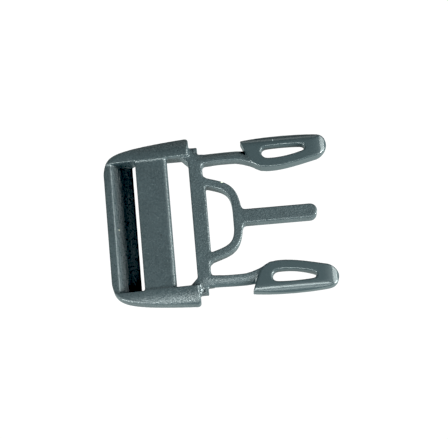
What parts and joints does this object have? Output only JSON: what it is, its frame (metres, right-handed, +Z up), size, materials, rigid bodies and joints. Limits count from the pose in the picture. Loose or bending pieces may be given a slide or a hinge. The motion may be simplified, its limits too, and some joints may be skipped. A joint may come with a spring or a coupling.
{
  "type": "side release buckle plug",
  "caption": "Plug half of a side release strap buckle: slotted barbed prongs, a guide pin on a bowed bracket and a ladder type strap adjuster.",
  "frame": {"origin": "middle of the bounding box in plan, on the underside of the strap adjuster", "axes": "+X from the rear bar towards the tips of the prongs, +Y along the bars, +Z up from the underside"},
  "size_m": [0.069, 0.0522, 0.0084],
  "materials": {
    "moulding": "fine spark eroded mould texture, smoother on the prong heads"
  },
  "bodies": {
    "root": {"body": "moulding"}
  },
  "joints": []
}
